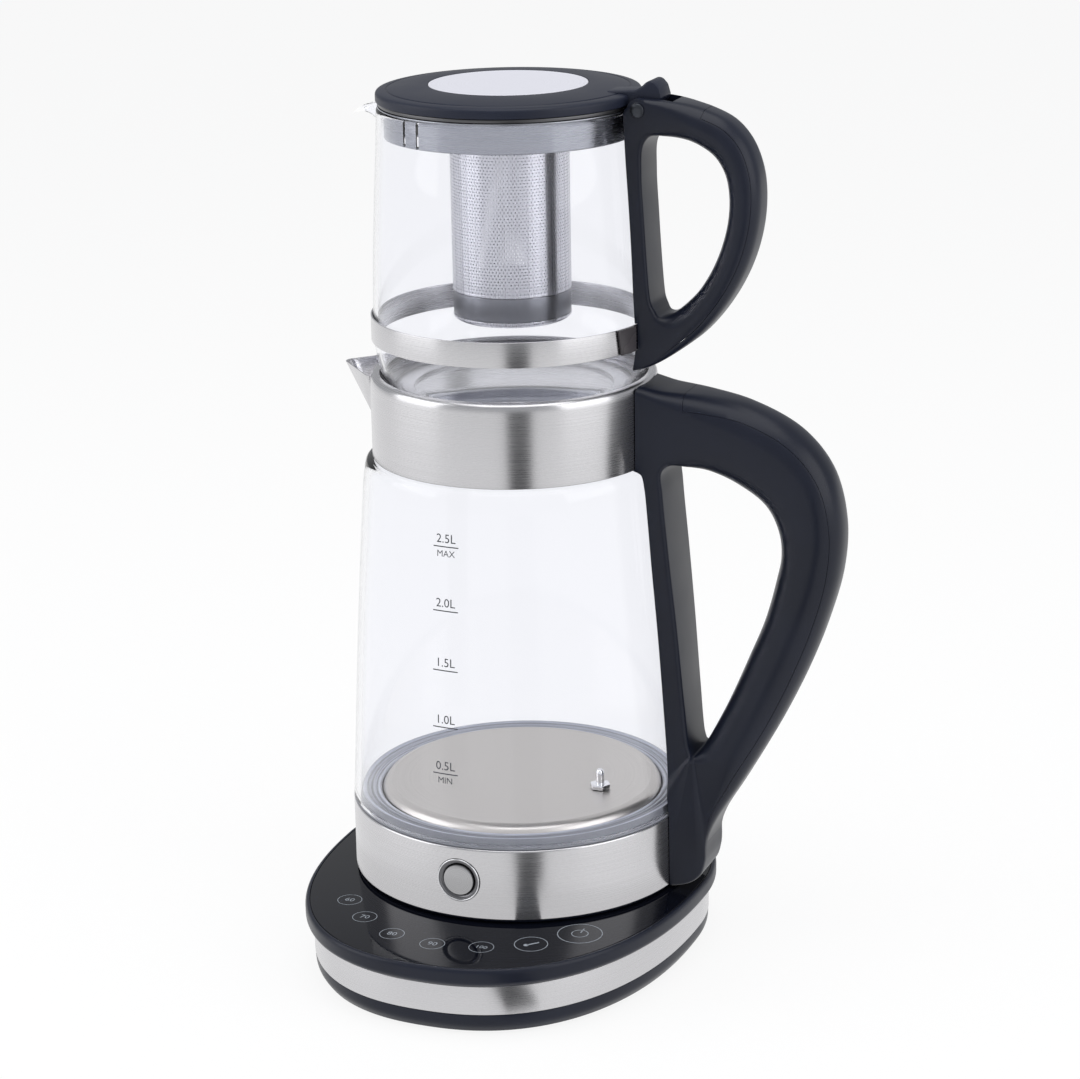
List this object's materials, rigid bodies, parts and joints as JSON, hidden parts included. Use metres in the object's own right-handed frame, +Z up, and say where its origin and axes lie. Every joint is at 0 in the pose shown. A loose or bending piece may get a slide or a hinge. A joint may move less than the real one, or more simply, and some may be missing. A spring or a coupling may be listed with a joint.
{
  "type": "tea maker",
  "caption": "Two-tier electric tea maker: power base with touch panel, lift-off glass kettle with loop handle, and glass teapot with hinged lid and perforated infuser.",
  "frame": {"origin": "on the table, under the axis shared by the kettle and the teapot, at the base's resting face", "axes": "+Z up, +X towards both handles, -X towards both spouts, -Y towards the user and the touch panel"},
  "size_m": [0.2738, 0.2405, 0.4489],
  "materials": {
    "plastic": "satin black",
    "panel": "glossy black",
    "steel": "brushed",
    "polished": "polished",
    "glass": "clear",
    "rubber": "matte",
    "seal": "translucent grey",
    "brass": "plain",
    "board": "printed board",
    "aluminium": "plain"
  },
  "bodies": {
    "base": {"base_bottom_cover": "plastic", "base_trim_band": "steel", "base_deck": "plastic", "base_touch_panel": "panel", "base_touch_strip": "rubber", "base_control_board": "board", "base_power_board": "board", "base_power_relay": "plastic", "base_buzzer": "plastic", "base_connector": "plastic", "base_centre_contact": "brass", "base_ring_contact": "brass", "base_cord_gland": "rubber", "base_foot_front_right": "rubber", "base_foot_front_left": "rubber", "base_foot_back_right": "rubber", "base_foot_back_left": "rubber", "base_screw_front_right": "steel", "base_screw_front_left": "steel", "base_screw_back_right": "steel", "base_screw_back_left": "steel"},
    "kettle_plug": {"kettle_connector": "plastic"},
    "kettle": {"kettle_bottom_cover": "plastic", "kettle_base_ring": "steel", "kettle_heating_plate": "polished", "kettle_plate_seal": "seal", "kettle_heat_spreader": "aluminium", "kettle_heating_element": "aluminium", "kettle_thermal_control": "plastic", "kettle_temperature_probe": "polished", "kettle_glass": "glass", "kettle_collar_seal": "rubber", "kettle_collar": "steel", "kettle_spout": "steel", "kettle_seat_ring": "steel", "kettle_handle": "plastic", "kettle_handle_cover": "plastic", "kettle_handle_screw_lower": "steel", "kettle_handle_screw_upper": "steel", "kettle_button_bezel": "polished", "kettle_button_switch": "plastic"},
    "button": {"kettle_button_cap": "steel"},
    "teapot": {"teapot_glass": "glass", "teapot_band": "steel", "teapot_band_clamp": "plastic", "teapot_handle": "plastic", "teapot_handle_cover": "plastic", "teapot_hinge_pin": "polished"},
    "lid": {"lid_body": "plastic", "lid_insert": "steel", "lid_under_pan": "steel"},
    "infuser": {"infuser_ring": "steel", "infuser_tube": "steel", "infuser_cap": "steel"}
  },
  "joints": [
    {"name": "kettle_lift", "type": "slide", "parent": "base", "child": "kettle_plug", "axis": [0, 0, 1], "range_m": [0, 0.06]},
    {"name": "kettle_turn", "type": "hinge", "parent": "kettle_plug", "child": "kettle", "pos_m": [0, 0, 0.0533], "axis": [0, 0, 1], "continuous": true},
    {"name": "button_press", "type": "slide", "parent": "kettle", "child": "button", "axis": [0, 1, 0], "range_m": [0, 0.0015], "stiffness_N_per_m": 800},
    {"name": "teapot_lift", "type": "slide", "parent": "kettle", "child": "teapot", "axis": [0, 0, 1], "range_m": [0, 0.06]},
    {"name": "lid_hinge", "type": "hinge", "parent": "teapot", "child": "lid", "pos_m": [0.071, 0, 0.4353], "axis": [0, 1, 0], "range_deg": [0, 75]},
    {"name": "infuser_turn", "type": "hinge", "parent": "teapot", "child": "infuser", "pos_m": [0, 0, 0.4233], "axis": [0, 0, 1], "continuous": true}
  ]
}
